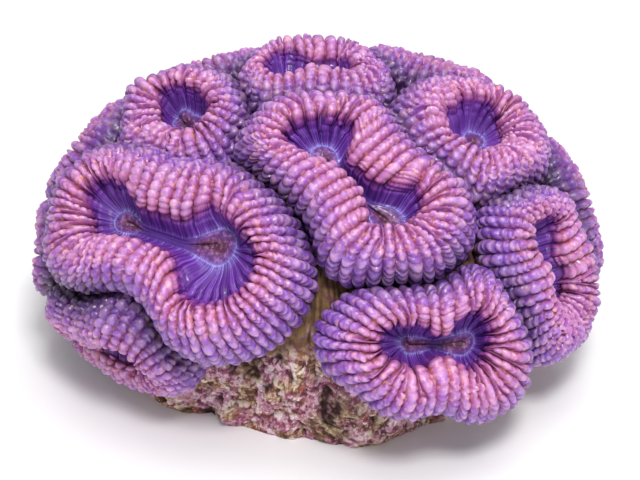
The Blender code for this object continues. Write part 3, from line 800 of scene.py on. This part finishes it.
def rock_form(turns, heights):
    """Points of the rock's form before its fine relief, at the given turns from the front and heights."""
    angle = 2 * math.pi * turns
    side = np.stack([np.sin(angle), -np.cos(angle)], -1)
    foot = ring_curve(FOOTPRINT, turns)
    core = 1 / np.sqrt((side[..., 0] / (CORE_ACROSS + 5)) ** 2 + (side[..., 1] / (CORE_DEEP + 5)) ** 2)
    low = np.clip(heights / ROCK_SHOULDER, 0, 1)
    wall = foot + (core - foot) * low**1.5 + 4.0 * np.sin(math.pi * np.clip(heights / 30.0, 0, 1))
    high = np.clip((heights - ROCK_SHOULDER) / ROCK_CROWN, 0, 1)
    radius = np.where(heights > ROCK_SHOULDER, core * np.sqrt(1 - high**2), wall)
    points = np.concatenate([side * radius[..., None], heights[..., None]], -1)
    lumps = 3.8 * rough(points, 19.0, 1) + 2.6 * rough(points, 9.0, 2)
    fade = np.clip(heights / 4.0, 0.6, 1) * np.where(heights > 70.0, 0.3, 1.0)
    points[..., :2] += side * (lumps * fade)[..., None]
    return points, side


def crumbs(points, size, seed):
    """Rounded crumbs packed side by side: their height from 0 to 1, and a random share for each."""
    p = points / size + seed * 3.7
    cell = np.floor(p)
    mixing = np.array([[127.1, 269.5, 419.2], [311.7, 183.3, 371.9], [74.7, 246.1, 124.6]])
    nearest, share = np.full(p.shape[:-1], 9.0), np.zeros(p.shape[:-1])
    for step in np.ndindex(3, 3, 3):
        corner = cell + np.array(step) - 1
        mixed = np.sin(corner @ mixing) * 43758.5453
        mixed = mixed - np.floor(mixed)
        d = np.linalg.norm(p - corner - 0.1 - 0.8 * mixed, axis=-1)
        closer = d < nearest
        nearest, share = np.where(closer, d, nearest), np.where(closer, mixed[..., 0], share)
    return np.sqrt(np.clip(1 - (nearest / 0.8) ** 2, 0, 1)), share


def grow_rock(lobes):
    """The dressed rock: crumbs and pits below, fibrous necks of old skeleton higher up under the lobes."""
    around_count = 720
    heights = np.concatenate([np.linspace(0, 50, 112), np.linspace(50, 80, 16)[1:]])
    rows = len(heights)
    # Columns stand closer together at the front, where the rock shows most.
    even = np.arange(around_count) / around_count
    turns = even - 0.07 * np.sin(2 * math.pi * even)
    tt, hh = np.meshgrid(turns, heights, indexing="ij")
    points, side = rock_form(tt, hh)
    neck = np.clip((hh - 36.0 - 9.0 * rough(points, 13.0, 12)) / 6.0, 0, 1)
    big, big_share = crumbs(points, 3.0, 1)
    small, small_share = crumbs(points, 1.5, 2)
    pits = np.clip(-rough(points, 4.2, 8) - 0.3, 0, 1) * 4.0
    pits = pits + np.clip(-rough(points, 8.5, 9) - 0.25, 0, 1) * 7.0
    crumbly = 1.8 * rough(points, 6.0, 5) + 1.4 * (big - 0.6) + 1.0 * (small - 0.6) - pits
    wander = 1.1 * rough(points, 11.0, 13)
    fibres = np.stack([tt * 190.0 + wander, hh / 14.0, 0 * tt], -1)
    fibrous = 2.4 * np.abs(rough(fibres, 1.0, 14)) + 1.0 * rough(fibres, 0.5, 15) + 0.5 * (small - 0.6) - 0.8
    relief = crumbly * (1 - neck) + fibrous * neck
    points[..., :2] += side * (relief * np.clip(0.7 + heights / 8.0, 0, 1)[None, :])[..., None]
    # Where the rock would come through a lobe, it is drawn back to just under the flesh.
    verts, tris, start = [], [], 0
    for flat, faces, _ in lobes:
        verts += flat.tolist()
        tris += [tuple(i + start for i in f) for f in faces]
        start += len(flat)
    tree = BVHTree.FromPolygons(verts, tris)
    centre = Vector(CORE_CENTRE)
    for i in range(around_count):
        for j in range(rows):
            ray = Vector(points[i, j]) - centre
            hit = tree.ray_cast(centre, ray.normalized(), ray.length + 1.0)
            if hit[0] is not None:
                share = min(1.0, (hit[3] - 0.5) / ray.length)
                points[i, j] = CORE_CENTRE + (points[i, j] - CORE_CENTRE) * share
    points[:, 0, 2] = 0.0
    points[:, 1:, 2] = np.maximum(points[:, 1:, 2], 0.05)
    index = np.arange(around_count * rows).reshape(around_count, rows)
    nxt = np.roll(index, -1, 0)
    quads = np.stack([index[:, :-1], nxt[:, :-1], nxt[:, 1:], index[:, 1:]], -1).reshape(-1, 4)
    faces = quads.tolist()
    total = around_count * rows
    faces += [(index[i, -1], nxt[i, -1], total) for i in range(around_count)]
    faces += [(nxt[i, 0], index[i, 0], total + 1) for i in range(around_count)]
    ends = np.array([[0, 0, points[:, -1, 2].mean() + 1.0], [0, 0, 0.0]])
    flat = np.concatenate([points.reshape(-1, 3), ends])
    # How raised each point of the rock is; the material darkens the low places with painted shade.
    raised = (1.5 * (big - 0.6) + 1.4 * (small - 0.6) - 0.7 * pits) * (1 - neck) / 2.2
    shade_relief = np.clip(0.62 + raised + 0.3 * fibrous * neck, 0, 1)
    facts = {"shade_relief": shade_relief, "crumb": 0.45 * big_share + 0.55 * small_share, "neck": neck}
    return flat, faces, {key: np.append(values.ravel(), [0.5, 0.5]) for key, values in facts.items()}


flesh = flesh_material()
stone = rock_material()
grown = []
for count, name in enumerate(LOBES):
    flat, faces, facts = grow_lobe(name, 11 + count)
    grown.append((flat, faces, facts))
    piece = make_mesh("flesh_" + name, flat, faces, facts, flesh)
    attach(piece, "root")
    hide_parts("lobe_" + name)
flat, faces, facts = grow_rock(grown)
rock = make_mesh("rock_with_crusts", flat, faces, facts, stone)
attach(rock, "root")
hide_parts("reef_rock")


def area_light(name, place, aim, size, power):
    """A square studio light at a place, turned to what it lights."""
    lamp = bpy.data.lights.new(name, "AREA")
    lamp.size = size
    lamp.energy = power
    holder = bpy.data.objects.new(name, lamp)
    holder.location = place
    holder.rotation_euler = (Vector(aim) - Vector(place)).to_track_quat("-Z", "Y").to_euler()
    bpy.context.scene.collection.objects.link(holder)


middle = (0.0, 0.0, 0.05)
area_light("key", (0.1, -0.65, 1.0), middle, 0.22, 7.8)
area_light("sky panel", (0.1, -0.1, 1.3), middle, 1.0, 9.2)
area_light("front fill", (0.5, -1.2, 0.35), middle, 0.9, 2.0)

world = bpy.data.worlds.new("white surround")
world.use_nodes = True
world.node_tree.nodes["Background"].inputs["Color"].default_value = (1.0, 1.0, 1.0, 1.0)
world.node_tree.nodes["Background"].inputs["Strength"].default_value = 0.44
bpy.context.scene.world = world
bpy.context.scene.view_settings.view_transform = "Standard"

paper, _, paper_shader = new_material("pale matte floor")
paper_shader.inputs["Base Color"].default_value = linear("f6f6f6")
paper_shader.inputs["Roughness"].default_value = 0.95
bpy.ops.mesh.primitive_plane_add(size=6.0, location=(0.0, 0.0, 0.0))
floor = bpy.context.object
floor.name = "floor"
floor.data.materials.append(paper)

# The camera looks down on the colony by 33 degrees from 0.7 m away.
RISE = math.radians(33.0)
AWAY = 0.7
TARGET = Vector((0.0, 0.0, 0.046))
lens = bpy.data.cameras.new("camera")
lens.sensor_width = 36.0
lens.lens = 107.6
camera = bpy.data.objects.new("camera", lens)
camera.location = TARGET + AWAY * Vector((0.0, -math.cos(RISE), math.sin(RISE)))
camera.rotation_euler = (math.pi / 2 - RISE, 0.0, 0.0)
bpy.context.scene.collection.objects.link(camera)
bpy.context.scene.camera = camera
